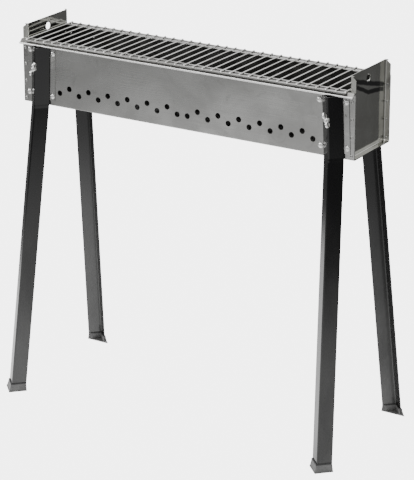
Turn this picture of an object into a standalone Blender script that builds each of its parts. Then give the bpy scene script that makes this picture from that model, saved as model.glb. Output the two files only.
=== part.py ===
"""Charcoal trough grill on four removable angle legs.

Metres, +Z up. X runs along the trough, -Y is the front, and the origin is on the floor under the
middle. The trough is bent sheet, closed by two end plates. Each leg is an angle whose apex points
outwards. It nests over a V bracket on the trough's wall, and a wing nut on a stud clamps it there.
"""
import math

import bmesh
import bpy
from mathutils import Matrix, Vector

# Trough
LENGTH = 0.750
WIDTH = 0.140
FLOOR_Z = 0.598
TOP_Z = 0.7285
SHEET = 0.0010
BEND = 0.0025
RIM_OUT = 0.012
RIM_FLAT = 0.004
RIM_DROP = 0.0065
HEM = 0.0028
RIM_STUB = 0.001
GAP = 0.0003

# Air holes, a zig-zag in each wall
HOLE_PITCH = 0.023
HOLES_HALF = 13
HOLE_D = 0.0112
HOLE_SIDES = 14
HOLE_LOW = 0.029
HOLE_HIGH = 0.0405

# End plates
FLANGE = 0.012
PLATE_TOP = 0.759
PLATE_BEND = 0.004
GRIP_HOLE_D = 0.0145
GRIP_HOLE_Z = 0.7392
RIVET_HEIGHTS = (0.0085, 0.0440, 0.0785, 0.1120)
CORNER_CUT = 0.0065

# Cooking grate
ROD_D = 0.003
ROD_PITCH = 0.0205
ROD_COUNT = 36
ROD_LENGTH = 0.160
RAIL_D = 0.004
RAIL_Y = 0.0625
EDGE_WIRE_Y = 0.0795
WELD = 0.0005

# Charcoal grate and the ledges under it
TRAY_HALF_LENGTH = 0.352
TRAY_HALF_WIDTH = 0.064
TRAY_HEIGHT = 0.050
TRAY_LIP = 0.0035
LEDGE_WIDTH = 0.011
LEDGE_WEB = 0.012
SLOT_COUNT = 20
SLOT_PITCH = 0.034
SLOT_LENGTH = 0.040
SLOT_WIDTH = 0.007
SLOT_Y = 0.026

# Legs, brackets and feet
STUD_X = 0.3304
STUD_Z = 0.6775
LEG_SIDE = 0.0306
LEG_SHEET = 0.0015
LEG_TOP = 0.7190
LEG_END = 0.0040
LEG_BEND = 0.003
LEAN = 0.0441
SPLAY = 0.1212
APEX_OUT = 0.0245
BRACKET_SHEET = 0.0012
BRACKET_LOW = 0.609
BRACKET_HIGH = 0.716
EAR_HALF = 0.0335
SCREW_X = 0.0276
SCREW_HEIGHTS = (0.6195, 0.7075)
SCREW_TILT = LEAN * SCREW_X
KEY_HOLE_Z = 0.684
KEY_HOLE_D = 0.005
FOOT_WALL = 0.0012
FOOT_HEIGHT = 0.017
FOOT_FLARE = 0.0040
FOOT_SPREAD = 0.0060
FOOT_BASE = 0.0030

# Studs, wing nuts, screws and rivets
STUD_D = 0.0056
STUD_HOLE_D = 0.0066
STUD_END = 0.0345
STUD_HEAD_D = 0.012
STUD_HEAD = 0.003
NUT_BORE_D = 0.0062
NUT_HUB_D = 0.0105
NUT_HUB = 0.0060
NUT_TILT = math.radians(22)
WING_D = 0.0125
WING_SHEET = 0.0034
WING_REACH = 0.0088
WING_RISE = 0.0050
SCREW_D = 0.0045
SCREW_HOLE_D = 0.0052
SCREW_HEAD_D = 0.0115
SCREW_HEAD = 0.0028
RIVET_D = 0.0034
RIVET_HOLE_D = 0.0041
RIVET_HEAD_D = 0.0062
RIVET_HEAD = 0.0014
TAIL = 0.0012

WALL_Y = WIDTH / 2
PLATE_X = LENGTH / 2 - FLANGE
SIDES = 10
ROUND_ANGLE = math.radians(50)


def new_collection(name):
    group = bpy.data.collections.new(name)
    bpy.context.scene.collection.children.link(group)
    return group


def material(name, colour, metallic, roughness):
    made = bpy.data.materials.new(name)
    made.use_nodes = True
    shader = made.node_tree.nodes["Principled BSDF"]
    shader.inputs["Base Color"].default_value = (*colour, 1.0)
    shader.inputs["Metallic"].default_value = metallic
    shader.inputs["Roughness"].default_value = roughness
    return made


def add_object(name, mesh, group, finish=None):
    made = bpy.data.objects.new(name, mesh)
    group.objects.link(made)
    if finish:
        mesh.materials.append(finish)
    return made


def mesh_from(bm, name):
    mesh = bpy.data.meshes.new(name)
    bm.to_mesh(mesh)
    bm.free()
    return mesh


def make_cutter(name, mesh):
    cutter = add_object(name, mesh, cutters)
    cutter.hide_render = True
    cutter.display_type = "WIRE"
    return cutter


def boolean(target, cutter, operation="DIFFERENCE"):
    step = target.modifiers.new(operation.lower(), "BOOLEAN")
    step.operation = operation
    step.object = cutter
    step.solver = "EXACT"


def solidify(target, thickness, offset):
    step = target.modifiers.new("thickness", "SOLIDIFY")
    step.thickness = thickness
    step.offset = offset
    step.use_even_offset = True


def smooth_round(mesh):
    mesh.shade_smooth()
    mesh.set_sharp_from_angle(angle=ROUND_ANGLE)


def fillet(corners, radius, steps):
    """The outline through corners with each inner corner rounded to an arc."""
    points = [Vector(corners[0])]
    for before, corner, after in zip(corners, corners[1:], corners[2:]):
        corner = Vector(corner)
        back = (Vector(before) - corner).normalized()
        ahead = (Vector(after) - corner).normalized()
        half = back.angle(ahead) / 2
        centre = corner + (back + ahead).normalized() * radius / math.sin(half)
        reach = radius / math.tan(half)
        first = corner + back * reach - centre
        last = corner + ahead * reach - centre
        start = math.atan2(first.y, first.x)
        turn = math.remainder(math.atan2(last.y, last.x) - start, math.tau)
        for step in range(steps + 1):
            angle = start + turn * step / steps
            points.append(centre + radius * Vector((math.cos(angle), math.sin(angle))))
    points.append(Vector(corners[-1]))
    return points


def lofted(name, sections):
    """An open surface through rows of points."""
    bm = bmesh.new()
    rows = [[bm.verts.new(point) for point in section] for section in sections]
    for low, high in zip(rows, rows[1:]):
        for a, b, c, d in zip(low, low[1:], high[1:], high):
            bm.faces.new((a, b, c, d))
    return mesh_from(bm, name)


def add_cylinder(bm, diameter, length, centre, axis, sides=SIDES):
    turn = Vector((0, 0, 1)).rotation_difference(Vector(axis)).to_matrix().to_4x4()
    bmesh.ops.create_cone(bm, cap_ends=True, segments=sides, radius1=diameter / 2,
                          radius2=diameter / 2, depth=length,
                          matrix=Matrix.Translation(centre) @ turn)


def add_box(bm, size, centre):
    bmesh.ops.create_cube(bm, size=1.0,
                          matrix=Matrix.Translation(centre) @ Matrix.Diagonal((*size, 1.0)))


def turned(name, profile, group, finish, sides):
    """A turned piece: profile holds (radius, height) points, from the top down."""
    bm = bmesh.new()
    verts = [bm.verts.new((radius, 0, height)) for radius, height in profile]
    for a, b in zip(verts, verts[1:]):
        bm.edges.new((a, b))
    mesh = mesh_from(bm, name)
    made = add_object(name, mesh, group, finish)
    step = made.modifiers.new("turn", "SCREW")
    step.steps = step.render_steps = sides
    step.use_merge_vertices = True
    step.merge_threshold = 0.00005
    step.use_smooth_shade = True
    return made


def dome(radius, height, steps=2):
    """Points of a dome from its crown down to its rim."""
    points = []
    for step in range(steps + 1):
        angle = math.pi / 2 * step / steps
        points.append((radius * math.sin(angle), height * math.cos(angle)))
    return points


def fastener_profile(head_d, head, shank_d, grip, tail_d):
    """Dome head, shank through the grip, and a flat tail, on the Z axis."""
    low = -grip
    profile = dome(head_d / 2, head)
    profile += [(shank_d / 2, 0.0), (shank_d / 2, low), (tail_d / 2, low)]
    profile += [(tail_d / 2, low - TAIL), (0.0, low - TAIL)]
    return profile


# ---- trough ----

def shell_profile():
    rim_y = WALL_Y + RIM_OUT
    rim_z = TOP_Z - RIM_DROP
    flat_z = TOP_Z - SHEET
    half = [(rim_y, rim_z - HEM), (rim_y, rim_z), (WALL_Y + RIM_FLAT, flat_z),
            (WALL_Y, flat_z), (WALL_Y, FLOOR_Z)]
    corners = [(-y, z) for y, z in half] + [(y, z) for y, z in reversed(half)]
    return fillet(corners, BEND / 2, 2)


def add_shell():
    """The folded sheet. Its back rim stops short at both ends, clear of the end plates."""
    profile = shell_profile()
    sections = [[(x, y, z) for y, z in profile] for x in (-LENGTH / 2, LENGTH / 2)]
    shell = add_object("trough_shell", lofted("trough_shell", sections), parts, steel)
    solidify(shell, SHEET, -1)
    bm = bmesh.new()
    across = WIDTH + 0.04
    for index in range(-HOLES_HALF, HOLES_HALF):
        x = (index + 0.5) * HOLE_PITCH
        step = index if index >= 0 else -1 - index
        height = HOLE_LOW if step % 2 == 0 else HOLE_HIGH
        add_cylinder(bm, HOLE_D, across, (x, 0, FLOOR_Z + height), (0, 1, 0), HOLE_SIDES)
    for side in (-1, 1):
        add_cylinder(bm, STUD_HOLE_D, across, (side * STUD_X, 0, STUD_Z), (0, 1, 0))
        for height in SCREW_HEIGHTS:
            for ear in (-1, 1):
                x = side * (STUD_X + leg_shift(height)) + ear * SCREW_X
                z = height + side * ear * SCREW_TILT
                add_cylinder(bm, SCREW_HOLE_D, across, (x, 0, z), (0, 1, 0))
        for height in RIVET_HEIGHTS:
            x = side * (LENGTH / 2 - FLANGE / 2)
            add_cylinder(bm, RIVET_HOLE_D, across, (x, 0, FLOOR_Z + height), (0, 1, 0))
        size = (2 * FLANGE, 2 * RIM_OUT, 4 * RIM_DROP)
        add_box(bm, size, (side * LENGTH / 2, WALL_Y + RIM_STUB + RIM_OUT, TOP_Z))
    boolean(shell, make_cutter("shell_holes", mesh_from(bm, "shell_holes")))


def add_end_plate(name, side):
    """A pan, open at its outer side and its top."""
    inset = SHEET + GAP
    size = (FLANGE, WIDTH - 2 * inset, PLATE_TOP - FLOOR_Z - inset)
    centre = (side * (LENGTH / 2 - FLANGE / 2), 0, (PLATE_TOP + FLOOR_Z + inset) / 2)
    bm = bmesh.new()
    add_box(bm, size, (0, 0, 0))
    bm.normal_update()
    open_faces = [f for f in bm.faces if f.normal.x * side > 0.5 or f.normal.z > 0.5]
    bmesh.ops.delete(bm, geom=open_faces, context="FACES")
    plate = add_object(name, mesh_from(bm, name), parts, mirror_steel)
    plate.location = centre
    step = plate.modifiers.new("bends", "BEVEL")
    step.width = PLATE_BEND
    step.segments = 3
    solidify(plate, SHEET, -1)
    bm = bmesh.new()
    add_cylinder(bm, GRIP_HOLE_D, 4 * FLANGE, (side * PLATE_X, 0, GRIP_HOLE_Z), (1, 0, 0), 16)
    for height in RIVET_HEIGHTS:
        spot = (side * (LENGTH / 2 - FLANGE / 2), 0, FLOOR_Z + height)
        add_cylinder(bm, RIVET_HOLE_D, WIDTH + 0.04, spot, (0, 1, 0))
    corner = Matrix.Translation((side * LENGTH / 2, 0, PLATE_TOP))
    tilt = Matrix.Rotation(side * math.radians(40), 4, "Y")
    cut = Matrix.Diagonal((2 * CORNER_CUT, WIDTH + 0.04, 2 * CORNER_CUT, 1.0))
    shift = Matrix.Translation((side * CORNER_CUT * 0.42, 0, 0))
    bmesh.ops.create_cube(bm, size=1.0, matrix=corner @ tilt @ shift @ cut)
    boolean(plate, make_cutter(name + "_cuts", mesh_from(bm, name + "_cuts")))


def add_end_rivets():
    grip = 2 * SHEET + 3 * GAP
    profile = fastener_profile(RIVET_HEAD_D, RIVET_HEAD, RIVET_D, grip, RIVET_HEAD_D * 0.8)
    for side, side_name in ((-1, "left"), (1, "right")):
        for front, front_name in ((-1, "front"), (1, "back")):
            for number, height in enumerate(RIVET_HEIGHTS, 1):
                name = f"rivet_{side_name}_{front_name}_{number}"
                rivet = turned(name, profile, parts, zinc, 8)
                rivet.location = (side * (LENGTH / 2 - FLANGE / 2), front * (WALL_Y + GAP),
                                  FLOOR_Z + height)
                rivet.rotation_euler.x = -front * math.pi / 2


# ---- grates ----

def add_cooking_grate():
    rod_z = TOP_Z + GAP + ROD_D / 2
    rail_z = rod_z - (ROD_D + RAIL_D) / 2 + WELD
    half = (ROD_COUNT - 1) / 2
    length = half * 2 * ROD_PITCH + ROD_D
    bm = bmesh.new()
    for y in (-EDGE_WIRE_Y, -RAIL_Y, RAIL_Y, EDGE_WIRE_Y):
        add_cylinder(bm, RAIL_D, length, (0, y, 0), (1, 0, 0))
    mesh = mesh_from(bm, "cooking_grate")
    smooth_round(mesh)
    grate = add_object("cooking_grate", mesh, parts, chrome)
    grate.location.z = rail_z
    bm = bmesh.new()
    for number in range(ROD_COUNT):
        x = (number - half) * ROD_PITCH
        add_cylinder(bm, ROD_D, ROD_LENGTH, (x, 0, rod_z), (0, 1, 0), 8)
    mesh = mesh_from(bm, "grate_rods")
    smooth_round(mesh)
    boolean(grate, make_cutter("grate_rods", mesh), "UNION")


def add_sheet(name, outline, radius, offset, finish):
    """Bent sheet along the trough's inside: outline holds (y, z) corners of one face."""
    profile = fillet(outline, radius, 2)
    ends = (-TRAY_HALF_LENGTH, TRAY_HALF_LENGTH)
    sections = [[(x, y, z) for y, z in profile] for x in ends]
    made = add_object(name, lofted(name, sections), parts, finish)
    solidify(made, SHEET, offset)
    return made


def add_charcoal_grate():
    """A shallow slotted tray."""
    low = FLOOR_Z + TRAY_HEIGHT - SHEET
    high = low + TRAY_LIP
    outline = [(-TRAY_HALF_WIDTH, high), (-TRAY_HALF_WIDTH, low),
               (TRAY_HALF_WIDTH, low), (TRAY_HALF_WIDTH, high)]
    grate = add_sheet("charcoal_grate", outline, BEND, -1, dark_steel)
    bm = bmesh.new()
    for number in range(SLOT_COUNT):
        x = (number - (SLOT_COUNT - 1) / 2) * SLOT_PITCH
        for side in (-1, 1):
            add_box(bm, (SLOT_WIDTH, SLOT_LENGTH, 4 * SHEET), (x, side * SLOT_Y, low))
    boolean(grate, make_cutter("grate_slots", mesh_from(bm, "grate_slots")))


def add_ledges():
    """Angle strips on the walls, above the air holes. The charcoal grate rests on them."""
    low = FLOOR_Z + TRAY_HEIGHT - 2 * SHEET - GAP
    wall = WALL_Y - SHEET - GAP
    for front, tag in ((-1, "front"), (1, "back")):
        outline = [(front * (wall - LEDGE_WIDTH), low), (front * wall, low),
                   (front * wall, low + LEDGE_WEB)]
        add_sheet("grate_ledge_" + tag, outline, BEND / 2, -front, steel)


# ---- leg corners ----

def leg_shift(z):
    """How far the leg's line has moved outwards along X at height z."""
    return LEAN * (STUD_Z - z)


def apex_at(z, lean):
    """The leg's apex at height z, in its corner's frame, where -Y points away from the trough."""
    splay = SPLAY * max(0.0, FLOOR_Z - z)
    return Vector((lean * leg_shift(z), -APEX_OUT - splay, z - STUD_Z))


def v_section(z, lean, side, bend, inset=0.0, ear=None):
    """An angle's outline at height z. A positive inset lies inside the leg's outer face."""
    apex = apex_at(z, lean)
    step = inset * math.sqrt(2)
    reach = side / math.sqrt(2)
    if ear:
        reach = APEX_OUT - step - ear[1]
        corners = [(-ear[0], -ear[1]), (-reach, -ear[1]), (0.0, step - APEX_OUT),
                   (reach, -ear[1]), (ear[0], -ear[1])]
        outline = fillet(corners, bend, 2)
        return [Vector((apex.x + x, y, apex.z)) for x, y in outline]
    corners = [(-reach, reach + step), (0.0, step), (reach, reach + step)]
    outline = fillet(corners, bend, 3)
    return [Vector((apex.x + x, apex.y + y, apex.z)) for x, y in outline]


def add_bracket(name, lean, corner):
    inset = LEG_SHEET + GAP
    ear = (EAR_HALF, GAP + BRACKET_SHEET)
    heights = (BRACKET_LOW, BRACKET_HIGH)
    sections = [v_section(z, lean, LEG_SIDE, 0.0015, inset, ear) for z in heights]
    bracket = add_object(name, lofted(name, sections), parts, steel)
    bracket.parent = corner
    solidify(bracket, BRACKET_SHEET, -1)
    bm = bmesh.new()
    add_cylinder(bm, STUD_HOLE_D, 0.08, (0, 0, 0), (0, 1, 0))
    for height in SCREW_HEIGHTS:
        for side in (-1, 1):
            z = height + lean * side * SCREW_TILT
            spot = (lean * leg_shift(height) + side * SCREW_X, 0, z - STUD_Z)
            add_cylinder(bm, SCREW_HOLE_D, 0.01, spot, (0, 1, 0))
    spot = (lean * (leg_shift(KEY_HOLE_Z) + SCREW_X), 0, KEY_HOLE_Z - STUD_Z)
    add_cylinder(bm, KEY_HOLE_D, 0.01, spot, (0, 1, 0))
    cutter = make_cutter(name + "_holes", mesh_from(bm, name + "_holes"))
    cutter.parent = corner
    boolean(bracket, cutter)


def add_leg(name, lean, corner):
    heights = (LEG_END, FLOOR_Z, LEG_TOP)
    sections = [v_section(z, lean, LEG_SIDE, LEG_BEND) for z in heights]
    leg = add_object(name, lofted(name, sections), parts, enamel)
    leg.parent = corner
    solidify(leg, LEG_SHEET, -1)
    bm = bmesh.new()
    add_cylinder(bm, STUD_HOLE_D, 0.08, (0, 0, 0), (0, 1, 0))
    cutter = make_cutter(name + "_hole", mesh_from(bm, name + "_hole"))
    cutter.parent = corner
    boolean(leg, cutter)


def add_foot(name, lean, corner):
    """A boot: an angle wall that spreads towards the floor, on a three-cornered base."""
    low_side = LEG_SIDE + FOOT_SPREAD
    levels = ((0.0, low_side, FOOT_FLARE), (FOOT_HEIGHT, LEG_SIDE, 0.0))
    sections = [v_section(z, lean, side, LEG_BEND, -GAP - flare) for z, side, flare in levels]
    foot = add_object(name, lofted(name, sections), parts, foot_grey)
    foot.parent = corner
    solidify(foot, FOOT_WALL, 1)
    outset = GAP + FOOT_FLARE + FOOT_WALL / 2
    apex = apex_at(0.0, lean)
    reach = low_side / math.sqrt(2) + FOOT_WALL / 4
    corners = [(-reach, reach), (0.0, 0.0), (reach, reach)]
    outline = bpy.data.curves.new(name + "_base", "CURVE")
    outline.dimensions = "2D"
    outline.fill_mode = "BOTH"
    outline.extrude = FOOT_BASE / 2
    spline = outline.splines.new("POLY")
    spline.points.add(len(corners) - 1)
    spline.use_cyclic_u = True
    for point, (x, y) in zip(spline.points, corners):
        point.co = (apex.x + x, apex.y + y - outset * math.sqrt(2), 0.0, 1.0)
    curve = add_object(name + "_outline", outline, cutters)
    base = make_cutter(name + "_base", solid_mesh(curve))
    base.parent = corner
    base.location.z = FOOT_BASE / 2 - STUD_Z
    boolean(foot, base, "UNION")


def solid_mesh(curve):
    """The curve object's solid as a mesh with its caps welded on. The curve is removed."""
    bpy.context.view_layer.update()
    ready = curve.evaluated_get(bpy.context.evaluated_depsgraph_get())
    mesh = bpy.data.meshes.new_from_object(ready)
    bm = bmesh.new()
    bm.from_mesh(mesh)
    bmesh.ops.remove_doubles(bm, verts=bm.verts, dist=0.00001)
    bm.to_mesh(mesh)
    bm.free()
    bpy.data.objects.remove(curve)
    return mesh


def add_stud(name, corner):
    """Dome head inside the trough, shank out through the wall, bracket and leg."""
    inside = SHEET + GAP
    profile = [(0.0, STUD_END), (STUD_D / 2 - 0.0006, STUD_END), (STUD_D / 2, STUD_END - 0.0006),
               (STUD_D / 2, -inside), (STUD_HEAD_D / 2, -inside)]
    profile += [(r, -inside - h) for r, h in reversed(dome(STUD_HEAD_D / 2, STUD_HEAD)[:-1])]
    stud = turned(name, profile, parts, zinc, SIDES)
    stud.parent = corner
    stud.rotation_euler.x = math.pi / 2


def add_wing_nut(name, lean, corner):
    """Bored hub with two round wings, turned on the stud's axis."""
    bm = bmesh.new()
    bmesh.ops.create_cone(bm, cap_ends=True, segments=16, radius1=NUT_HUB_D / 2,
                          radius2=NUT_HUB_D * 0.42, depth=NUT_HUB,
                          matrix=Matrix.Translation((0, 0, NUT_HUB / 2)))
    mesh = mesh_from(bm, name)
    smooth_round(mesh)
    nut = add_object(name, mesh, parts, zinc)
    nut.parent = corner
    nut.location.y = -APEX_OUT - GAP / 2
    nut.rotation_euler = (math.pi / 2, -lean * NUT_TILT, 0)
    for side, tag in ((-1, "a"), (1, "b")):
        bm = bmesh.new()
        spot = (0, side * WING_REACH, WING_RISE)
        add_cylinder(bm, WING_D, WING_SHEET, spot, (1, 0, 0), 14)
        mesh = mesh_from(bm, name + "_wing_" + tag)
        smooth_round(mesh)
        wing = make_cutter(mesh.name, mesh)
        wing.parent = nut
        boolean(nut, wing, "UNION")
    bm = bmesh.new()
    add_cylinder(bm, NUT_BORE_D, 4 * NUT_HUB, (0, 0, 0), (0, 0, 1), 12)
    bore = make_cutter(name + "_bore", mesh_from(bm, name + "_bore"))
    bore.parent = nut
    boolean(nut, bore)


def add_bracket_screws(tag, lean, corner):
    grip = SHEET + BRACKET_SHEET + 3 * GAP
    profile = fastener_profile(SCREW_HEAD_D, SCREW_HEAD, SCREW_D, grip, SCREW_HEAD_D * 0.6)
    number = 0
    for height in SCREW_HEIGHTS:
        for side in (-1, 1):
            number += 1
            screw = turned(f"bracket_screw_{tag}_{number}", profile, parts, zinc, SIDES)
            screw.parent = corner
            z = height + lean * side * SCREW_TILT
            screw.location = (lean * leg_shift(height) + side * SCREW_X,
                              -2 * GAP - BRACKET_SHEET, z - STUD_Z)
            screw.rotation_euler.x = math.pi / 2


def add_corner(tag, side, front):
    """One leg corner. Its empty is on the stud's axis at the wall, turned so -Y points outwards."""
    corner = bpy.data.objects.new("corner_" + tag, None)
    parts.objects.link(corner)
    corner.location = (side * STUD_X, front * WALL_Y, STUD_Z)
    corner.rotation_euler.z = 0.0 if front < 0 else math.pi
    lean = -side * front
    add_bracket("leg_bracket_" + tag, lean, corner)
    add_leg("leg_" + tag, lean, corner)
    add_foot("foot_" + tag, lean, corner)
    add_stud("clamp_stud_" + tag, corner)
    add_wing_nut("wing_nut_" + tag, lean, corner)
    add_bracket_screws(tag, lean, corner)


for leftover in list(bpy.data.objects):
    bpy.data.objects.remove(leftover)

parts = new_collection("charcoal_trough_grill")
cutters = new_collection("cutters")

steel = material("stainless_steel", (0.50, 0.50, 0.49), 1.0, 0.28)
mirror_steel = material("polished_steel", (0.36, 0.36, 0.35), 1.0, 0.12)
dark_steel = material("heat_dulled_steel", (0.16, 0.16, 0.16), 1.0, 0.45)
chrome = material("chromed_wire", (0.78, 0.78, 0.76), 1.0, 0.12)
enamel = material("black_enamel", (0.012, 0.012, 0.012), 0.0, 0.22)
foot_grey = material("grey_plastic", (0.16, 0.16, 0.16), 0.0, 0.50)
zinc = material("bright_zinc", (0.70, 0.70, 0.68), 1.0, 0.22)

add_shell()
add_end_plate("end_plate_left", -1)
add_end_plate("end_plate_right", 1)
add_end_rivets()
add_cooking_grate()
add_charcoal_grate()
add_ledges()
add_corner("front_left", -1, -1)
add_corner("front_right", 1, -1)
add_corner("back_left", -1, 1)
add_corner("back_right", 1, 1)
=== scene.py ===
"""Studio scene of the charcoal trough grill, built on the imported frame."""
import math
import random

import bmesh
import bpy
from mathutils import Matrix, Vector


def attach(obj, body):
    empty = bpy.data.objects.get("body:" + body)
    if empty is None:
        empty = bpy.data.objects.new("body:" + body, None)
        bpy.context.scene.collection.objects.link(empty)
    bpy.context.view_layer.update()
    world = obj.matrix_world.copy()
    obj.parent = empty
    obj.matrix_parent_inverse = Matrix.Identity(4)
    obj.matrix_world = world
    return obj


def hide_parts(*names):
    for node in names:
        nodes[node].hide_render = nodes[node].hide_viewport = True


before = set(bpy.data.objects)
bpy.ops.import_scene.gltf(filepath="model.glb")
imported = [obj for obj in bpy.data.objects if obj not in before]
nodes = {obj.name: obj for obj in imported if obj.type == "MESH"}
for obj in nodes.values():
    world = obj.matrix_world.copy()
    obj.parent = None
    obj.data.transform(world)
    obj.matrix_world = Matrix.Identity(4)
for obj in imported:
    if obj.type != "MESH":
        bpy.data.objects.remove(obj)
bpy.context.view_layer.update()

# Sizes that repeat part.py's, in metres
LENGTH = 0.750
WALL_Y = 0.070
FLOOR_Z = 0.598
TOP_Z = 0.7285
SHEET = 0.0010
HOLE_PITCH = 0.023
HOLES_HALF = 13
HOLE_D = 0.0112
HOLE_LOW = 0.029
HOLE_HIGH = 0.0405
FLANGE = 0.012
PLATE_TOP = 0.759
PLATE_BEND = 0.004
PLATE_X = LENGTH / 2 - FLANGE
GRIP_HOLE_D = 0.0145
GRIP_HOLE_Z = 0.7392
CORNER_CUT = 0.0065
RIVET_HEIGHTS = (0.0085, 0.0440, 0.0785, 0.1120)
GAP = 0.0003
ROD_D = 0.003
ROD_PITCH = 0.0205
ROD_COUNT = 36
ROD_LENGTH = 0.160
RAIL_D = 0.004
RAIL_YS = (-0.0795, -0.0625, 0.0625, 0.0795)
STUD_X = 0.3304
STUD_Z = 0.6775
LEG_SIDE = 0.0306
LEG_SHEET = 0.0015
LEG_TOP = 0.7190
LEG_END = 0.0040
LEAN = 0.0441
SPLAY = 0.1212
APEX_OUT = 0.0245
SCREW_X = 0.0276
SCREW_HEIGHTS = (0.6195, 0.7075)
SCREW_TILT = LEAN * SCREW_X
BRACKET_SHEET = 0.0012
FOOT_WALL = 0.0012
FOOT_HEIGHT = 0.017
FOOT_FLARE = 0.0040
FOOT_SPREAD = 0.0060
STUD_END = 0.0345
NUT_TILT = math.radians(22)
WING_REACH = 0.0088
WING_RISE = 0.0050

# This script's own sizes and places, in metres
EAR_Y = GAP + BRACKET_SHEET
HEM_Y = 0.0812
HEM_Z = 0.7210
HEM_R = 0.0013
FOOT_SOLE = 0.0030
LEG_BEND_R = 0.0026
EDGE_R = 0.0003
RIM_ZONE = (0.7150, 0.7170)
NOTCH_DEPTH = 0.024
NOTCH_HEIGHT = 0.026
KINK_HALF = 0.0055
KINK_BULGE = 0.0004

CORNERS = {"front_left": (-1, -1), "front_right": (1, -1),
           "back_left": (-1, 1), "back_right": (1, 1)}

# ---------------------------------------------------------------- materials


class Nodes:
    """Short ways to build one material's node tree."""

    def __init__(self, name):
        self.material = bpy.data.materials.new(name)
        self.material.use_nodes = True
        self.tree = self.material.node_tree
        self.shader = self.tree.nodes["Principled BSDF"]
        source = self.tree.nodes.new("ShaderNodeTexCoord")
        self.place = source.outputs["Object"]
        self.normal = source.outputs["Normal"]

    def node(self, kind, **inputs):
        made = self.tree.nodes.new(kind)
        for key, value in inputs.items():
            socket = made.inputs[key.replace("_", " ")]
            if isinstance(value, bpy.types.NodeSocket):
                self.tree.links.new(value, socket)
            else:
                socket.default_value = value
        return made

    def stretched(self, scale):
        made = self.node("ShaderNodeMapping", Vector=self.place, Scale=scale)
        return made.outputs["Vector"]

    def noise(self, scale, vector=None, detail=3.0, rough=0.5, distortion=0.0):
        made = self.node("ShaderNodeTexNoise", Vector=vector or self.place, Scale=scale,
                         Detail=detail, Roughness=rough, Distortion=distortion)
        return made.outputs["Fac"]

    def ramp(self, value, low, high, to_low=0.0, to_high=1.0, smooth=True):
        made = self.node("ShaderNodeMapRange", Value=value)
        made.interpolation_type = "SMOOTHSTEP" if smooth else "LINEAR"
        for key, number in (("From Min", low), ("From Max", high),
                            ("To Min", to_low), ("To Max", to_high)):
            made.inputs[key].default_value = number
        return made.outputs["Result"]

    def mix(self, factor, first, second):
        made = self.tree.nodes.new("ShaderNodeMix")
        made.data_type = "RGBA"
        sockets = [s for s in made.inputs if s.enabled]
        for socket, value in zip(sockets, (factor, first, second)):
            if isinstance(value, bpy.types.NodeSocket):
                self.tree.links.new(value, socket)
            elif isinstance(value, (int, float)):
                socket.default_value = value
            else:
                socket.default_value = (*value, 1.0)
        return [s for s in made.outputs if s.enabled][0]

    def maths(self, operation, first, second):
        made = self.tree.nodes.new("ShaderNodeMath")
        made.operation = operation
        for socket, value in zip(made.inputs, (first, second)):
            if isinstance(value, bpy.types.NodeSocket):
                self.tree.links.new(value, socket)
            else:
                socket.default_value = value
        return made.outputs["Value"]

    def band(self, value, centre, half):
        """One inside a soft-edged band round centre, zero outside."""
        away = self.maths("ABSOLUTE", self.maths("SUBTRACT", value, centre), 0.0)
        return self.ramp(away, 0.7 * half, 1.4 * half, 1.0, 0.0)

    def axis(self, which):
        split = self.node("ShaderNodeSeparateXYZ", Vector=self.place)
        return split.outputs[which]

    def distance(self, spot):
        made = self.node("ShaderNodeVectorMath", Vector=self.place)
        made.operation = "DISTANCE"
        made.inputs[1].default_value = spot
        return made.outputs["Value"]

    def bump(self, height, strength, distance, under=None):
        made = self.node("ShaderNodeBump", Height=height, Strength=strength, Distance=distance)
        if under:
            self.tree.links.new(under, made.inputs["Normal"])
        return made.outputs["Normal"]

    def finish(self, colour=None, roughness=None, normal=None, **fixed):
        for key, value in (("Base Color", colour), ("Roughness", roughness), ("Normal", normal)):
            if value is not None:
                self.tree.links.new(value, self.shader.inputs[key])
        for key, value in fixed.items():
            self.shader.inputs[key.replace("_", " ")].default_value = value
        return self.material


def rolled_steel(name, light, dark, rough, waviness):
    """Cold-rolled sheet: lengthwise grain and smudges. The rim's slope carries a painted shade
    and its hem a painted highlight.
    """
    n = Nodes(name)
    grain = n.noise(60.0, n.stretched((0.25, 9.0, 9.0)), detail=6.0, rough=0.7)
    smudge = n.noise(9.0, detail=4.0, rough=0.6, distortion=0.6)
    blotch = n.noise(38.0, detail=5.0, rough=0.65, distortion=1.2)
    tone = n.mix(n.ramp(smudge, 0.35, 0.68), dark, light)
    spots = n.ramp(blotch, 0.56, 0.70, 0.0, 0.30)
    tone = n.mix(spots, tone, tuple(0.72 * c for c in dark))
    fine = n.ramp(grain, 0.3, 0.7, 0.0, 0.10)
    tone = n.mix(fine, tone, tuple(0.8 * c for c in light))
    across = n.maths("ABSOLUTE", n.axis("Y"), 0.0)
    slope = n.maths("MULTIPLY", n.ramp(across, WALL_Y + 0.0004, WALL_Y + 0.0016),
                    n.ramp(across, HEM_Y - 0.0016, HEM_Y - 0.0004, 1.0, 0.0))
    # Painted shade: the rim's slope between wall and hem is darkened, standing in for the grate's
    # shadow.
    painted_slope_shade = n.maths("MULTIPLY", slope, n.ramp(n.axis("Z"), *RIM_ZONE, 0.0, 0.85))
    tone = n.mix(painted_slope_shade, tone, (0.200, 0.196, 0.188))
    # Painted highlight: the rolled hem is lightened towards white.
    hem = n.maths("MULTIPLY", n.ramp(across, HEM_Y - 0.0008, HEM_Y + 0.0002),
                  n.ramp(n.axis("Z"), *RIM_ZONE))
    tone = n.mix(hem, tone, (0.860, 0.860, 0.845))
    sheen = n.maths("ADD", n.ramp(grain, 0.25, 0.75, rough - 0.05, rough + 0.07),
                    n.ramp(smudge, 0.3, 0.7, 0.06, -0.03))
    wave = n.noise(5.5, detail=1.0)
    low = n.bump(wave, waviness, 0.02)
    normal = n.bump(grain, 0.04, 0.0002, low)
    return n.finish(tone, sheen, normal, Metallic=1.0, Anisotropic=0.25)


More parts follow.
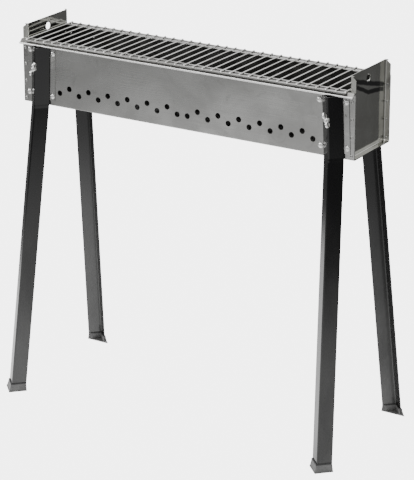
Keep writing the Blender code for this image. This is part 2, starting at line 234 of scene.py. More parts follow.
def sooted_steel(name, clean, soot):
    """Sheet that faces the fire: brown-black soot with paler patches where it has flaked."""
    n = Nodes(name)
    cloud = n.noise(16.0, detail=6.0, rough=0.62, distortion=0.8)
    fleck = n.noise(210.0, detail=3.0, rough=0.7)
    tone = n.mix(n.ramp(cloud, 0.42, 0.66), soot, clean)
    tone = n.mix(n.ramp(fleck, 0.58, 0.72, 0.0, 0.5), tone, tuple(1.6 * c for c in clean))
    rough = n.ramp(cloud, 0.3, 0.7, 0.62, 0.38)
    normal = n.bump(fleck, 0.35, 0.0004)
    return n.finish(tone, rough, normal, Metallic=0.85)


def polished_steel():
    """End plates: near mirror, a little uneven, with a painted dark reflection below the grip
    hole.
    """
    n = Nodes("polished_end_steel")
    smudge = n.noise(14.0, detail=5.0, rough=0.6, distortion=0.7)
    scratch = n.noise(90.0, n.stretched((8.0, 8.0, 0.5)), detail=5.0, rough=0.75)
    tone = n.mix(n.ramp(smudge, 0.32, 0.70), (0.46, 0.46, 0.43), (0.58, 0.58, 0.55))
    tone = n.mix(n.ramp(scratch, 0.45, 0.8, 0.0, 0.22), tone, (0.66, 0.66, 0.64))
    # Painted reflection: two slanted dark bands on the outer faces below the grip hole, the lower
    # one dipping in the middle.
    across = n.maths("ABSOLUTE", n.axis("Y"), 0.0)
    warp = n.maths("MULTIPLY", n.noise(30.0, detail=2.0), 0.005)
    slant = n.maths("MULTIPLY", n.axis("Y"), 0.286)
    level = n.maths("ADD", n.maths("ADD", n.axis("Z"), warp), slant)
    upper = n.band(level, 0.7312, 0.0044)
    dip = n.maths("ADD", level, n.ramp(across, 0.0, 0.048, 0.008, 0.0, smooth=False))
    lower = n.band(dip, 0.7215, 0.0040)
    both = n.maths("MAXIMUM", upper, lower)
    outside = n.ramp(n.maths("ABSOLUTE", n.axis("X"), 0.0), 0.3634, 0.3638)
    inner = n.ramp(across, 0.058, 0.066, 1.0, 0.0)
    painted_dark_reflection = n.maths("MULTIPLY", n.maths("MULTIPLY", both, outside), inner)
    tone = n.mix(n.maths("MULTIPLY", painted_dark_reflection, 0.92), tone, (0.022, 0.022, 0.024))
    flange = n.ramp(across, 0.0650, 0.0680, 0.0, 0.26)
    sheen = n.maths("ADD", n.ramp(scratch, 0.3, 0.8, 0.08, 0.15), flange)
    wave = n.noise(9.0, detail=1.0)
    normal = n.bump(scratch, 0.04, 0.0002, n.bump(wave, 0.12, 0.02))
    return n.finish(tone, sheen, normal, Metallic=1.0)


def bright_wire():
    """Chromed wire with faint draw lines and heat-dulled stretches. The rails carry a painted
    shade and are rougher.
    """
    n = Nodes("chromed_wire_bright")
    patch = n.noise(24.0, detail=4.0, rough=0.6)
    lines = n.noise(420.0, n.stretched((1.0, 0.08, 1.0)), detail=3.0)
    tone = n.mix(n.ramp(patch, 0.40, 0.72), (0.86, 0.86, 0.84), (0.66, 0.65, 0.62))
    # Painted shade: the rails below the rods are darkened; they are also made rougher.
    rail_shade_and_dullness = n.ramp(n.axis("Z"), TOP_Z + GAP + 0.0001, TOP_Z + GAP + 0.0007, 0.88, 0.0)
    tone = n.mix(rail_shade_and_dullness, tone, (0.160, 0.158, 0.152))
    rough = n.maths("ADD", n.ramp(patch, 0.35, 0.75, 0.13, 0.27), n.maths("MULTIPLY", rail_shade_and_dullness, 0.2))
    return n.finish(tone, rough, n.bump(lines, 0.08, 0.0001), Metallic=1.0)


def black_enamel():
    """Stoved black gloss with orange peel and dust. Painted light: paler towards the ground as a
    painted reflection of the floor, and on the back legs paler and darker faces as painted lit
    and shaded sides.
    """
    n = Nodes("black_enamel_gloss")
    peel = n.noise(420.0, detail=2.0)
    dust = n.noise(26.0, n.stretched((1.0, 1.0, 0.35)), detail=6.0, rough=0.65)
    # Painted reflection: the leg grows paler towards the ground, broken up by the dust noise.
    low = n.ramp(n.axis("Z"), 0.02, 0.56, 1.0, 0.0)
    dust_and_painted_light = n.maths("MULTIPLY", n.ramp(dust, 0.25, 0.8, 0.28, 0.50), low)
    # Painted light and shade on the back legs: faces turned to the front right are made paler as
    # lit sides, the others darker as shaded sides.
    to_front_right = (0.707, -0.707, 0.0)
    facing = n.node("ShaderNodeVectorMath", Vector=n.normal)
    facing.operation = "DOT_PRODUCT"
    facing.inputs[1].default_value = to_front_right
    painted_lit_side = n.ramp(facing.outputs["Value"], 0.2, 0.8, -0.8, 0.9)
    inside = n.maths("MULTIPLY", n.ramp(n.axis("Y"), 0.075, 0.090), painted_lit_side)
    dust_and_painted_light = n.maths("MULTIPLY", dust_and_painted_light, n.maths("ADD", inside, 1.0))
    tone = n.mix(dust_and_painted_light, (0.0035, 0.0035, 0.0037), (0.118, 0.118, 0.116))
    rough = n.ramp(dust, 0.3, 0.75, 0.10, 0.18)
    return n.finish(tone, rough, n.bump(peel, 0.04, 0.0002), Metallic=0.0, IOR=1.48)


def grey_boot():
    """Moulded plastic with a fine grain, darker towards the ground, and a painted shadow round
    its top rim.
    """
    n = Nodes("grey_boot_plastic")
    grain = n.noise(900.0, detail=2.0)
    cloud = n.noise(60.0, detail=4.0, rough=0.6)
    # Darker towards the ground.
    low = n.ramp(n.axis("Z"), 0.0, 0.007, 1.0, 0.0)
    tone = n.mix(n.ramp(cloud, 0.3, 0.7), (0.098, 0.098, 0.097), (0.140, 0.140, 0.138))
    tone = n.mix(n.maths("MULTIPLY", low, 0.55), tone, (0.045, 0.044, 0.042))
    # Painted shadow: a dark line round the boot's top rim, where the leg goes in.
    painted_rim_shadow = n.ramp(n.axis("Z"), 0.0142, 0.0152, 0.0, 0.9)
    tone = n.mix(painted_rim_shadow, tone, (0.012, 0.012, 0.012))
    rough = n.ramp(cloud, 0.3, 0.7, 0.42, 0.58)
    return n.finish(tone, rough, n.bump(grain, 0.20, 0.0002), Metallic=0.0)


def zinc_plate(name, light, dark, smooth):
    """Zinc plate: small crystals of slightly different tone and roughness."""
    n = Nodes(name)
    cells = n.node("ShaderNodeTexVoronoi", Vector=n.place, Scale=520.0).outputs["Distance"]
    cloud = n.noise(120.0, detail=4.0, rough=0.6)
    tone = n.mix(n.ramp(cells, 0.1, 0.8), light, dark)
    tone = n.mix(n.ramp(cloud, 0.55, 0.75, 0.0, 0.35), tone, (0.40, 0.39, 0.36))
    rough = n.ramp(cloud, 0.3, 0.7, smooth, smooth + 0.15)
    return n.finish(tone, rough, n.bump(cells, 0.12, 0.0002), Metallic=1.0)


wall_steel = rolled_steel("trough_sheet_steel", (0.480, 0.480, 0.470), (0.390, 0.390, 0.380),
                          0.27, 0.30)
bracket_steel = rolled_steel("bracket_sheet_steel", (0.480, 0.480, 0.470), (0.390, 0.390, 0.380),
                             0.27, 0.10)
fire_steel = sooted_steel("fire_side_steel", (0.140, 0.138, 0.132), (0.035, 0.034, 0.032))
tray_steel = sooted_steel("charcoal_tray_steel", (0.110, 0.108, 0.102), (0.026, 0.025, 0.024))
plate_steel = polished_steel()
wire = bright_wire()
enamel = black_enamel()
boot = grey_boot()
zinc = zinc_plate("bright_zinc_plate", (0.97, 0.97, 0.96), (0.86, 0.86, 0.84), 0.10)
dull_zinc = zinc_plate("dull_zinc_plate", (0.52, 0.52, 0.51), (0.36, 0.36, 0.35), 0.30)

# ---------------------------------------------------------------- mesh helpers


def mesh_from(bm, name, smooth_angle=35):
    bmesh.ops.recalc_face_normals(bm, faces=bm.faces)
    mesh = bpy.data.meshes.new(name)
    bm.to_mesh(mesh)
    bm.free()
    mesh.shade_smooth()
    mesh.set_sharp_from_angle(angle=math.radians(smooth_angle))
    return mesh


def add(name, mesh, finish=None):
    made = bpy.data.objects.new(name, mesh)
    bpy.context.scene.collection.objects.link(made)
    if finish:
        mesh.materials.append(finish)
    return made


def solid(name, bm, finish):
    """A new object from bm, with its faces turned outwards."""
    bmesh.ops.recalc_face_normals(bm, faces=bm.faces)
    mesh = bpy.data.meshes.new(name)
    bm.to_mesh(mesh)
    bm.free()
    return add(name, mesh, finish)


def baked(obj, smooth_angle):
    """The object's mesh with its modifiers applied. The object and its cutters go away."""
    bpy.context.view_layer.update()
    ready = obj.evaluated_get(bpy.context.evaluated_depsgraph_get())
    mesh = bpy.data.meshes.new_from_object(ready)
    mesh.name = obj.name
    for cutter in [m.object for m in obj.modifiers if m.type == "BOOLEAN"]:
        bpy.data.objects.remove(cutter)
    bpy.data.objects.remove(obj)
    if smooth_angle:
        mesh.shade_smooth()
        mesh.set_sharp_from_angle(angle=math.radians(smooth_angle))
    return mesh


def cut(target, bm):
    """Takes the closed shapes in bm away from the target."""
    mesh = bpy.data.meshes.new("cutter")
    bm.to_mesh(mesh)
    bm.free()
    step = target.modifiers.new("cut", "BOOLEAN")
    step.operation = "DIFFERENCE"
    step.object = add("cutter", mesh)
    step.solver = "EXACT"


def round_edges(target, width, angle):
    """Bevels the edges that turn by more than angle, in degrees."""
    step = target.modifiers.new("edges", "BEVEL")
    step.width = width
    step.segments = 2
    step.limit_method = "ANGLE"
    step.angle_limit = math.radians(angle)


def even_normals(target):
    target.data.shade_smooth()
    step = target.modifiers.new("normals", "WEIGHTED_NORMAL")
    step.keep_sharp = True


def cylinder(bm, diameter, length, centre, axis, sides):
    turn = Vector((0, 0, 1)).rotation_difference(Vector(axis)).to_matrix().to_4x4()
    bmesh.ops.create_cone(bm, cap_ends=True, segments=sides, radius1=diameter / 2,
                          radius2=diameter / 2, depth=length,
                          matrix=Matrix.Translation(centre) @ turn)


def block(bm, size, centre):
    bmesh.ops.create_cube(bm, size=1.0,
                          matrix=Matrix.Translation(centre) @ Matrix.Diagonal((*size, 1.0)))


def fillet(corners, radius, steps):
    """The outline through corners with each inner corner rounded to an arc."""
    points = [Vector(corners[0])]
    for before, corner, after in zip(corners, corners[1:], corners[2:]):
        corner = Vector(corner)
        back = (Vector(before) - corner).normalized()
        ahead = (Vector(after) - corner).normalized()
        half = back.angle(ahead) / 2
        centre = corner + (back + ahead).normalized() * radius / math.sin(half)
        reach = radius / math.tan(half)
        first = corner + back * reach - centre
        last = corner + ahead * reach - centre
        start = math.atan2(first.y, first.x)
        turn = math.remainder(math.atan2(last.y, last.x) - start, math.tau)
        for step in range(steps + 1):
            angle = start + turn * step / steps
            points.append(centre + radius * Vector((math.cos(angle), math.sin(angle))))
    points.append(Vector(corners[-1]))
    return points


def ribbon(points, thickness, end_steps=4):
    """A closed outline round a path: the path's two sides and two round ends."""
    half = thickness / 2
    sides = [[], []]
    for index, point in enumerate(points):
        before = points[max(index - 1, 0)]
        after = points[min(index + 1, len(points) - 1)]
        into = (point - before).normalized() if index else None
        out = (after - point).normalized() if index < len(points) - 1 else None
        along = ((into or out) + (out or into)).normalized()
        stretch = half / max(0.5, along.dot(out or into))
        normal = Vector((-along.y, along.x)) * stretch
        sides[0].append(point + normal)
        sides[1].append(point - normal)
    outline = list(sides[0])
    outline += round_end(points[-1], sides[0][-1] - points[-1], end_steps)
    outline += reversed(sides[1])
    outline += round_end(points[0], sides[1][0] - points[0], end_steps)
    return outline


def round_end(centre, arm, steps):
    made = []
    for step in range(1, steps):
        angle = -math.pi * step / steps
        turn = Matrix.Rotation(angle, 2)
        made.append(centre + turn @ arm)
    return made


def prism(bm, sections):
    """Closed outlines joined in order, with both ends capped."""
    rows = [[bm.verts.new(point) for point in section] for section in sections]
    for low, high in zip(rows, rows[1:]):
        for index in range(len(low)):
            after = (index + 1) % len(low)
            bm.faces.new((low[index], low[after], high[after], high[index]))
    bm.faces.new(list(reversed(rows[0])))
    bm.faces.new(rows[-1])


def turned(bm, profile, sides, matrix=None):
    """A turned solid from (radius, height) points that start and end on the axis."""
    place = matrix or Matrix.Identity(4)
    rings = []
    for radius, height in profile:
        if radius < 1e-7:
            rings.append([bm.verts.new(place @ Vector((0, 0, height)))])
            continue
        ring = []
        for side in range(sides):
            angle = math.tau * side / sides
            spot = Vector((radius * math.cos(angle), radius * math.sin(angle), height))
            ring.append(bm.verts.new(place @ spot))
        rings.append(ring)
    for high, low in zip(rings, rings[1:]):
        for side in range(sides):
            after = (side + 1) % sides
            if len(high) == 1:
                bm.faces.new((high[0], low[side], low[after]))
            elif len(low) == 1:
                bm.faces.new((high[side], low[0], high[after]))
            else:
                bm.faces.new((high[side], low[side], low[after], high[after]))


def dome(radius, height, steps):
    """(radius, height) points down a dome's side, from its top to its rim."""
    points = []
    for step in range(steps + 1):
        angle = math.pi / 2 * step / steps
        points.append((radius * math.sin(angle), height * math.cos(angle)))
    return points


# ---------------------------------------------------------------- trough


def rim_path(side):
    """The sheet's middle line on one side: rolled hem, valley, slope, flat, wall."""
    points = []
    for step in range(15):
        angle = math.radians(-175 + 325 * step / 14)
        points.append((HEM_Y + HEM_R * math.cos(angle), HEM_Z + HEM_R * math.sin(angle)))
    middle = SHEET / 2
    top = TOP_Z - middle
    wall = WALL_Y - middle
    bends = [points[-1], (0.0789, 0.7227), (0.0744, top), (wall, top), (wall, 0.66)]
    rounded = fillet(bends, 0.0010, 5)
    points = [Vector(p) for p in points[:-1]] + rounded
    return [Vector((side * p.x, p.y)) for p in points]


def trough():
    """The bent sheet with its air holes, and the back rim's notches past the end plates."""
    front = rim_path(-1)
    back = rim_path(1)
    middle = SHEET / 2
    wall = WALL_Y - middle
    base = FLOOR_Z + middle
    floor = fillet([(-wall, 0.65), (-wall, base), (wall, base), (wall, 0.65)], 0.0020, 6)
    path = front + floor[1:-1] + list(reversed(back))
    outline = ribbon(path, SHEET)
    steps = 60
    sections = []
    for step in range(steps + 1):
        x = -LENGTH / 2 + LENGTH * step / steps
        sections.append([bowed(x, y, z) for y, z in outline])
    bm = bmesh.new()
    prism(bm, sections)
    bmesh.ops.recalc_face_normals(bm, faces=bm.faces)
    bm.normal_update()
    for face in bm.faces:
        centre = face.calc_center_median()
        inside = abs(centre.y) < wall and centre.z < TOP_Z - 0.004
        face.material_index = 1 if inside else 0
    mesh = bpy.data.meshes.new("trough_sheet")
    bm.to_mesh(mesh)
    bm.free()
    shell = add("trough_sheet", mesh, wall_steel)
    mesh.materials.append(fire_steel)
    bm = bmesh.new()
    across = 2 * WALL_Y + 0.04
    for index in range(-HOLES_HALF, HOLES_HALF):
        x = (index + 0.5) * HOLE_PITCH
        step = index if index >= 0 else -1 - index
        height = HOLE_LOW if step % 2 == 0 else HOLE_HIGH
        cylinder(bm, HOLE_D, across, (x, 0, FLOOR_Z + height), (0, 1, 0), 28)
    cut(shell, bm)
    bm = bmesh.new()
    for side in (-1, 1):
        block(bm, (2 * FLANGE, NOTCH_DEPTH, NOTCH_HEIGHT),
              (side * LENGTH / 2, WALL_Y + 0.013, TOP_Z))
    cut(shell, bm)
    shell.modifiers[-1].use_self = True
    round_edges(shell, EDGE_R, 50)
    even_normals(shell)
    made = add("trough_sheet", baked(shell, 0))
    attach(made, "trough")
    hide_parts("trough_shell")


def bowed(x, y, z):
    """A point of the sheet, with the slight unevenness of a hand-folded wall."""
    on_wall = FLOOR_Z + 0.004 < z < TOP_Z - 0.004
    share = 1.0 if on_wall and abs(abs(y) - WALL_Y) < 0.002 else 0.0
    wave = 0.00022 * math.sin(9.0 * x + 1.3 * y) + 0.00012 * math.sin(31.0 * x + 40.0 * z)
    return Vector((x, y + share * wave, z))


def end_plate(side, tag):
    """A pan with turned-out flanges, cut corners and a round grip hole."""
    inset = SHEET + GAP
    size = (FLANGE, 2 * (WALL_Y - inset), PLATE_TOP - FLOOR_Z - inset)
    centre = (side * (LENGTH / 2 - FLANGE / 2), 0, (PLATE_TOP + FLOOR_Z + inset) / 2)
    bm = bmesh.new()
    block(bm, size, centre)
    bm.normal_update()
    open_faces = [f for f in bm.faces if f.normal.x * side > 0.5 or f.normal.z > 0.5]
    bmesh.ops.delete(bm, geom=open_faces, context="FACES")
    mesh = bpy.data.meshes.new("plate")
    bm.to_mesh(mesh)
    bm.free()
    plate = add("plate", mesh, plate_steel)
    step = plate.modifiers.new("bends", "BEVEL")
    step.width = PLATE_BEND
    step.segments = 7
    step = plate.modifiers.new("thickness", "SOLIDIFY")
    step.thickness = SHEET
    step.offset = -1
    step.use_even_offset = True
    bm = bmesh.new()
    spot = (side * PLATE_X, 0, GRIP_HOLE_Z)
    cylinder(bm, GRIP_HOLE_D, 4 * FLANGE, spot, (1, 0, 0), 40)
    corner = Matrix.Translation((side * LENGTH / 2, 0, PLATE_TOP))
    tilt = Matrix.Rotation(side * math.radians(40), 4, "Y")
    chamfer = Matrix.Diagonal((2 * CORNER_CUT, 0.2, 2 * CORNER_CUT, 1.0))
    shift = Matrix.Translation((side * CORNER_CUT * 0.42, 0, 0))
    bmesh.ops.create_cube(bm, size=1.0, matrix=corner @ tilt @ shift @ chamfer)
    cut(plate, bm)
    round_edges(plate, 0.00025, 55)
    even_normals(plate)
    made = add("end_sheet_" + tag, baked(plate, 0))
    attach(made, "trough")
    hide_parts("end_plate_" + tag)


# ---------------------------------------------------------------- grates

def wire_rod(bm, diameter, start, end, sides=14):
    """A round wire with softly rounded ends."""
    start = Vector(start)
    along = Vector(end) - start
    length = along.length
    radius = diameter / 2
    soft = radius * 0.45
    profile = [(0.0, length), (radius * 0.55, length - soft * 0.12),
               (radius * 0.88, length - soft * 0.5), (radius, length - soft),
               (radius, soft), (radius * 0.88, soft * 0.5),
               (radius * 0.55, soft * 0.12), (0.0, 0.0)]
    turn = Vector((0, 0, 1)).rotation_difference(along).to_matrix().to_4x4()
    turned(bm, profile, sides, Matrix.Translation(start) @ turn)


def cooking_grate():
    """Cross rods on two pairs of long rails, with a weld bump at each crossing."""
    rod_z = TOP_Z + GAP + ROD_D / 2
    rail_z = rod_z - (ROD_D + RAIL_D) / 2 + 0.0005
    half = (ROD_COUNT - 1) / 2
    reach = half * ROD_PITCH + ROD_D / 2
    bm = bmesh.new()
    for y in RAIL_YS:
        wire_rod(bm, RAIL_D, (-reach, y, rail_z), (reach, y, rail_z), 18)
    for number in range(ROD_COUNT):
        x = (number - half) * ROD_PITCH
        wire_rod(bm, ROD_D, (x, -ROD_LENGTH / 2, rod_z), (x, ROD_LENGTH / 2, rod_z))
        for y in RAIL_YS:
            spot = Matrix.Translation((x, y, rod_z - ROD_D / 2 + 0.0001))
            size = Matrix.Diagonal((0.0023, 0.0021, 0.0011, 1.0))
            bmesh.ops.create_icosphere(bm, subdivisions=2, radius=1.0, matrix=spot @ size)
    made = add("grate_wires", mesh_from(bm, "grate_wires", 60), wire)
    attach(made, "cooking_grate")
    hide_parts("cooking_grate")


# ---------------------------------------------------------------- leg corners

def corner_frame(side, front):
    """The CAD's corner frame: on the stud's axis at the wall, with -Y pointing outwards."""
    turn = Matrix.Rotation(0.0 if front < 0 else math.pi, 4, "Z")
    return Matrix.Translation((side * STUD_X, front * WALL_Y, STUD_Z)) @ turn


def leg_shift(z):
    return LEAN * (STUD_Z - z)


def apex_at(z, lean):
    splay = SPLAY * max(0.0, FLOOR_Z - z)
    return Vector((lean * leg_shift(z), -APEX_OUT - splay, z - STUD_Z))


def angle_outline(side, thickness, bend):
    """An angle iron's section about its apex, closed, with round free edges."""
    shift = thickness / 2 * math.sqrt(2)
    reach = (side - thickness / 2) / math.sqrt(2)
    corners = [(-reach + shift / 2, reach + shift / 2), (0.0, shift),
               (reach - shift / 2, reach + shift / 2)]
    return ribbon(fillet(corners, bend, 8), thickness, 5)


def place_section(outline, apex):
    return [Vector((apex.x + p.x, apex.y + p.y, apex.z)) for p in outline]


def leg(tag, side, front):
    """An angle leg: upright beside the trough, then splayed, with a soft kink at the bend."""
    lean = -side * front
    place = corner_frame(side, front)
    outline = angle_outline(LEG_SIDE, LEG_SHEET, LEG_BEND_R)
    heights = [LEG_END, LEG_END + 0.0005]
    heights += [LEG_END + 0.0005 + (FLOOR_Z - 0.006 - LEG_END) * k / 16 for k in range(1, 17)]
    bend = [FLOOR_Z - 0.0035, FLOOR_Z - 0.0015, FLOOR_Z, FLOOR_Z + 0.002, FLOOR_Z + 0.0045]
    heights += bend + [0.64, 0.68, LEG_TOP - 0.0005, LEG_TOP]
    sections = []
    for z in heights:
        apex = apex_at(z, lean)
        near = max(0.0, KINK_HALF - abs(z - FLOOR_Z)) / KINK_HALF
        apex.y += -KINK_BULGE * near * near
        sections.append([place @ p for p in place_section(outline, apex)])
    bm = bmesh.new()
    prism(bm, sections)
    raw = solid("leg", bm, enamel)
    round_edges(raw, EDGE_R, 60)
    even_normals(raw)
    made = add("angle_" + tag, baked(raw, 0))
    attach(made, "leg_" + tag)
    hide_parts("leg_" + tag)


def foot_ring(z, lean, out, longer):
    """The boot's outline at height z: an angle's outer face and the line that closes its back."""
    apex = apex_at(z, lean)
    reach = (LEG_SIDE + longer) / math.sqrt(2)
    step = out * math.sqrt(2)
    tip = reach + FOOT_WALL / math.sqrt(2)
    top = tip - step
    corners = [(0.0, top), (-tip, top), (0.0, -step), (tip, top), (0.0, top)]
    ring = fillet(corners, 0.0004, 4)[:-1]
    return [Vector((apex.x + p.x, apex.y + p.y, apex.z)) for p in ring]


def foot(tag, side, front):
    """A moulded boot: walls that spread towards a solid sole, with a slot that grips the leg."""
    lean = -side * front
    place = corner_frame(side, front)
    bm = bmesh.new()
    rows = []
    bead = 0.0005
    levels = [(0.0, -0.0005), (0.0005, 0.0), (0.0026, 0.0), (0.0032, -0.0005), (0.0060, -0.0004),
              (0.0100, -0.0002), (0.0142, 0.0), (0.0148, bead), (0.0164, bead),
              (FOOT_HEIGHT, 0.0)]
    for z, more in levels:
        share = 1 - z / FOOT_HEIGHT
        out = GAP + FOOT_WALL + share * FOOT_FLARE + more
        rows.append([place @ p for p in foot_ring(z, lean, out, share * FOOT_SPREAD + more)])
    prism(bm, rows)
    raw = solid("boot", bm, boot)
    slot = LEG_SHEET + 2 * GAP
    for step, depth in ((GAP, slot), (-slot - FOOT_WALL, 0.05)):
        bm = bmesh.new()
        near = -step * math.sqrt(2)
        back = near + depth * math.sqrt(2)
        far = 0.04
        ring = [(-far, far + near), (0.0, near), (far, far + near), (far, far + back),
                (0.0, back), (-far, far + back)]
        rows = []
        for z in (FOOT_SOLE, FOOT_HEIGHT + 0.004):
            apex = apex_at(z, lean)
            rows.append([place @ Vector((apex.x + x, apex.y + y, apex.z)) for x, y in ring])
        prism(bm, rows)
        bmesh.ops.recalc_face_normals(bm, faces=bm.faces)
        cut(raw, bm)
    round_edges(raw, EDGE_R, 50)
    even_normals(raw)
    made = add("boot_" + tag, baked(raw, 0))
    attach(made, "leg_" + tag)
    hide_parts("foot_" + tag)


def nut_mesh():
    """A cast wing nut on the Z axis: hub, two rounded wings, soft fillets."""
    bm = bmesh.new()
    turned(bm, [(0.0, 0.0066), (0.0042, 0.0066), (0.0048, 0.0060), (0.0057, 0.0008),
                (0.0055, 0.0), (0.0, 0.0)], 48)
    for side in (-1, 1):
        spot = Matrix.Translation((0, side * WING_REACH, WING_RISE))
        turn = Matrix.Rotation(math.pi / 2, 4, "Y")
        half = [(0.0, 0.0020), (0.0030, 0.0021), (0.0048, 0.0024), (0.0058, 0.0019)]
        low = [(radius, -height) for radius, height in reversed(half)]
        turned(bm, half + [(0.00625, 0.0)] + low, 40, spot @ turn)
        block(bm, (0.0040, 0.0050, 0.0054), (0, side * 0.0052, 0.0040))
    raw = solid("nut", bm, zinc)
    step = raw.modifiers.new("cast", "REMESH")
    step.mode = "VOXEL"
    step.voxel_size = 0.00042
    step.use_smooth_shade = True
    step = raw.modifiers.new("soften", "SMOOTH")
    step.factor = 0.5
    step.iterations = 4
    bm = bmesh.new()
    cylinder(bm, 0.0062, 0.03, (0, 0, 0), (0, 0, 1), 32)
    cut(raw, bm)
    return baked(raw, 50)


def stud_mesh():
    """A clamp stud along Z: dome head inside, plain shank, then a cut thread."""
    sides = 28
    start = 0.018
    pitch = 0.0010
    depth = 0.00028
    radius = 0.0028
    inside = SHEET + GAP
    core = radius - depth
    profile = [(0.0, start), (core, start), (core, -inside)]
    profile += [(r, -inside - h) for r, h in reversed(dome(0.006, 0.003, 8))]
    bm = bmesh.new()
    turned(bm, profile, sides)
    steps = 128
    top = STUD_END
    rows = []
    for row in range(steps + 1):
        z = start - 0.001 + (top - start + 0.001) * row / steps
        fade = min(1.0, (top - z) / 0.0008)
        ring = []
        for side in range(sides):
            angle = math.tau * side / sides
            phase = (z / pitch - side / sides) % 1.0
            ridge = 1.0 - abs(2.0 * phase - 1.0)
            r = radius - depth + depth * min(1.0, 1.5 * ridge) - 0.0005 * (1.0 - fade)
            ring.append(Vector((r * math.cos(angle), r * math.sin(angle), z)))
        rows.append(ring)
    prism(bm, rows)
    return mesh_from(bm, "stud", 50)


def screw_mesh():
    """A washer-faced dome screw along Z with a plain cross recess, and its tail inside."""
    bm = bmesh.new()
    grip = SHEET + BRACKET_SHEET + 3 * GAP
    profile = [(0.0, 0.0028), (0.0016, 0.00272), (0.0030, 0.00240), (0.0041, 0.00180),
               (0.0046, 0.00110), (0.0047, 0.00075), (0.0056, 0.00062), (0.00575, 0.00035),
               (0.00570, 0.0), (0.00225, 0.0), (0.00225, -grip), (0.00345, -grip),
               (0.00345, -grip - 0.0008), (0.0030, -grip - 0.0012), (0.0, -grip - 0.0012)]
    turned(bm, profile, 40)
    raw = solid("screw", bm, zinc)
    bm = bmesh.new()
    block(bm, (0.0042, 0.0009, 0.0024), (0, 0, 0.0028))
    cut(raw, bm)
    bm = bmesh.new()
    block(bm, (0.0009, 0.0042, 0.0024), (0, 0, 0.0028))
    cut(raw, bm)
    return baked(raw, 32)


def rivet_mesh():
    """A blind rivet along Z: low dome with the hole that its pin leaves, and a tail."""
    bm = bmesh.new()
    grip = 2 * SHEET + 3 * GAP
    profile = [(0.0, 0.0004), (0.0007, 0.0004), (0.00075, 0.00125), (0.0009, 0.00138),
               (0.0017, 0.00125), (0.0025, 0.00085), (0.0030, 0.00035), (0.0031, 0.0),
               (0.0017, 0.0), (0.0017, -grip), (0.0024, -grip), (0.00248, -grip - 0.0008),
               (0.0021, -grip - 0.0012), (0.0, -grip - 0.0012)]
    turned(bm, profile, 32)
    return mesh_from(bm, "rivet", 40)


def fastener(name, mesh, matrix, body, node):
    made = add(name, mesh)
    made.matrix_world = matrix
    bpy.context.view_layer.update()
    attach(made, body)
    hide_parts(node)


def corner_fasteners(tag, side, front, nut, stud, screw, spin):
    lean = -side * front
    place = corner_frame(side, front)
    outwards = Matrix.Rotation(math.pi / 2, 4, "X")
    seat = Matrix.Translation((0, -APEX_OUT - GAP / 2, 0))
    tilt = Matrix.Rotation(-lean * NUT_TILT, 4, "Y")
    fastener("nut_" + tag, nut, place @ seat @ tilt @ outwards, "wing_nut_" + tag,
             "wing_nut_" + tag)
    fastener("stud_" + tag, stud, place @ outwards, "trough", "clamp_stud_" + tag)
    number = 0
    for height in SCREW_HEIGHTS:
        for ear in (-1, 1):
            number += 1
            z = height + lean * ear * SCREW_TILT
            spot = (lean * leg_shift(height) + ear * SCREW_X, -GAP - EAR_Y, z - STUD_Z)
            turn = Matrix.Rotation(spin.uniform(0, math.pi), 4, "Z")
            fastener(f"screw_{tag}_{number}", screw,
                     place @ Matrix.Translation(spot) @ outwards @ turn, "trough",
                     f"bracket_screw_{tag}_{number}")


def end_rivets(rivet):
    for side, side_name in ((-1, "left"), (1, "right")):
        for front, front_name in ((-1, "front"), (1, "back")):
            for number, height in enumerate(RIVET_HEIGHTS, 1):
                spot = (side * (LENGTH / 2 - FLANGE / 2), front * (WALL_Y + GAP),
                        FLOOR_Z + height)
                turn = Matrix.Rotation(-front * math.pi / 2, 4, "X")
                fastener(f"pop_{side_name}_{front_name}_{number}", rivet,
                         Matrix.Translation(spot) @ turn, "trough",
                         f"rivet_{side_name}_{front_name}_{number}")


trough()
end_plate(-1, "left")
end_plate(1, "right")
cooking_grate()
nut = nut_mesh()
stud = stud_mesh()
stud.materials.append(zinc)
screw = screw_mesh()
rivet = rivet_mesh()
rivet.materials.append(dull_zinc)
spin = random.Random(7)
for tag, (side, front) in CORNERS.items():
    leg(tag, side, front)
    foot(tag, side, front)
    corner_fasteners(tag, side, front, nut, stud, screw, spin)
    bracket = nodes["leg_bracket_" + tag]
    bracket.data.materials.clear()
    bracket.data.materials.append(bracket_steel)
end_rivets(rivet)
for name, finish in (("charcoal_grate", tray_steel), ("grate_ledge_front", fire_steel),
                     ("grate_ledge_back", fire_steel)):
    nodes[name].data.materials.clear()
    nodes[name].data.materials.append(finish)

# ---------------------------------------------------------------- studio


WHITE = 5.0
POOL_AT = (0.2, -1.4, 0.0)
NEAR_GLOW = 1.05
FAR_GLOW = 0.13
SPOT_AT = (-0.3, 0.2, 0.0)
SPOT_GLOW = 1.3
POOL_EDGES = (0.9, 2.7)
SPOT_EDGES = (0.45, 0.95)
FLOOR_HALF = 14.0
HORIZON = (("From Min", -0.05), ("From Max", 0.22), ("To Min", 0.16), ("To Max", 1.00))
AIM = (0.0, 0.0, 0.5)


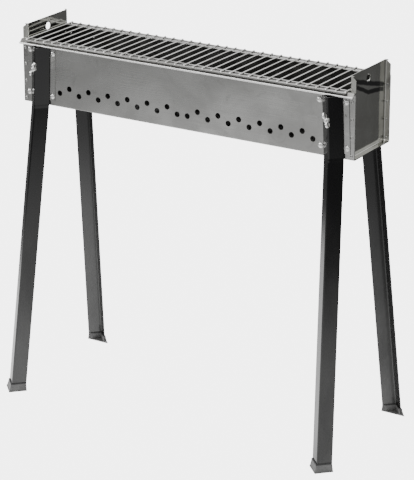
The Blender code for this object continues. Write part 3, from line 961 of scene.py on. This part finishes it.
def floor_material():
    """Overexposed white to look at. In reflections it is a pool of light that fades outwards."""
    n = Nodes("pale_floor")
    tree = n.tree
    n.finish(Base_Color=(0.9, 0.9, 0.9, 1.0), Roughness=0.9, Specular_IOR_Level=0.0)
    path = tree.nodes.new("ShaderNodeLightPath")
    fade = n.maths("ADD", n.ramp(n.distance(POOL_AT), *POOL_EDGES, NEAR_GLOW, FAR_GLOW),
                   n.ramp(n.distance(SPOT_AT), *SPOT_EDGES, SPOT_GLOW, 0.0))
    pool = n.node("ShaderNodeEmission", Strength=fade)
    white = n.node("ShaderNodeEmission", Strength=WHITE)
    first = n.node("ShaderNodeMixShader", Fac=path.outputs["Is Glossy Ray"])
    tree.links.new(n.shader.outputs["BSDF"], first.inputs[1])
    tree.links.new(pool.outputs["Emission"], first.inputs[2])
    second = n.node("ShaderNodeMixShader", Fac=path.outputs["Is Camera Ray"])
    tree.links.new(first.outputs["Shader"], second.inputs[1])
    tree.links.new(white.outputs["Emission"], second.inputs[2])
    tree.links.new(second.outputs["Shader"], tree.nodes["Material Output"].inputs["Surface"])
    return n.material


def studio_world():
    """White behind the object; for everything else, a room that is darker near the horizon."""
    world = bpy.data.worlds.new("studio")
    world.use_nodes = True
    tree = world.node_tree
    back = tree.nodes["Background"]
    back.inputs["Color"].default_value = (1.0, 1.0, 1.0, 1.0)
    place = tree.nodes.new("ShaderNodeTexCoord")
    split = tree.nodes.new("ShaderNodeSeparateXYZ")
    tree.links.new(place.outputs["Generated"], split.inputs["Vector"])
    rise = tree.nodes.new("ShaderNodeMapRange")
    rise.interpolation_type = "SMOOTHSTEP"
    for key, value in HORIZON:
        rise.inputs[key].default_value = value
    tree.links.new(split.outputs["Z"], rise.inputs["Value"])
    path = tree.nodes.new("ShaderNodeLightPath")
    pick = tree.nodes.new("ShaderNodeMix")
    tree.links.new(path.outputs["Is Camera Ray"], pick.inputs["Factor"])
    tree.links.new(rise.outputs["Result"], pick.inputs["A"])
    pick.inputs["B"].default_value = WHITE
    tree.links.new(pick.outputs["Result"], back.inputs["Strength"])
    return world


bm = bmesh.new()
bmesh.ops.create_grid(bm, x_segments=1, y_segments=1, size=FLOOR_HALF)
floor = add("studio_floor", mesh_from(bm, "studio_floor"), floor_material())
bpy.context.scene.world = studio_world()


def softbox(name, spot, target, size, power):
    light = bpy.data.lights.new(name, "AREA")
    light.shape = "RECTANGLE"
    light.size, light.size_y = size
    light.energy = power
    made = bpy.data.objects.new(name, light)
    bpy.context.scene.collection.objects.link(made)
    made.location = spot
    aim = Vector(target) - Vector(spot)
    made.rotation_euler = aim.to_track_quat("-Z", "Y").to_euler()


softbox("overhead", (0.0, -0.3, 2.6), AIM, (2.4, 1.6), 36)
softbox("key_left", (-2.4, -1.6, 1.7), AIM, (1.2, 1.6), 40)

camera_data = bpy.data.cameras.new("camera")
camera_data.sensor_fit = "VERTICAL"
camera_data.sensor_height = 24.0
camera_data.lens = 110.454
camera_data.shift_x = 0.020785
camera_data.shift_y = -0.022476
camera = bpy.data.objects.new("camera", camera_data)
bpy.context.scene.collection.objects.link(camera)
camera.location = (2.18633, -3.49778, 1.86407)
camera.rotation_euler = [math.radians(a) for a in (70.1207, 0.1823, 32.0721)]
bpy.context.scene.camera = camera
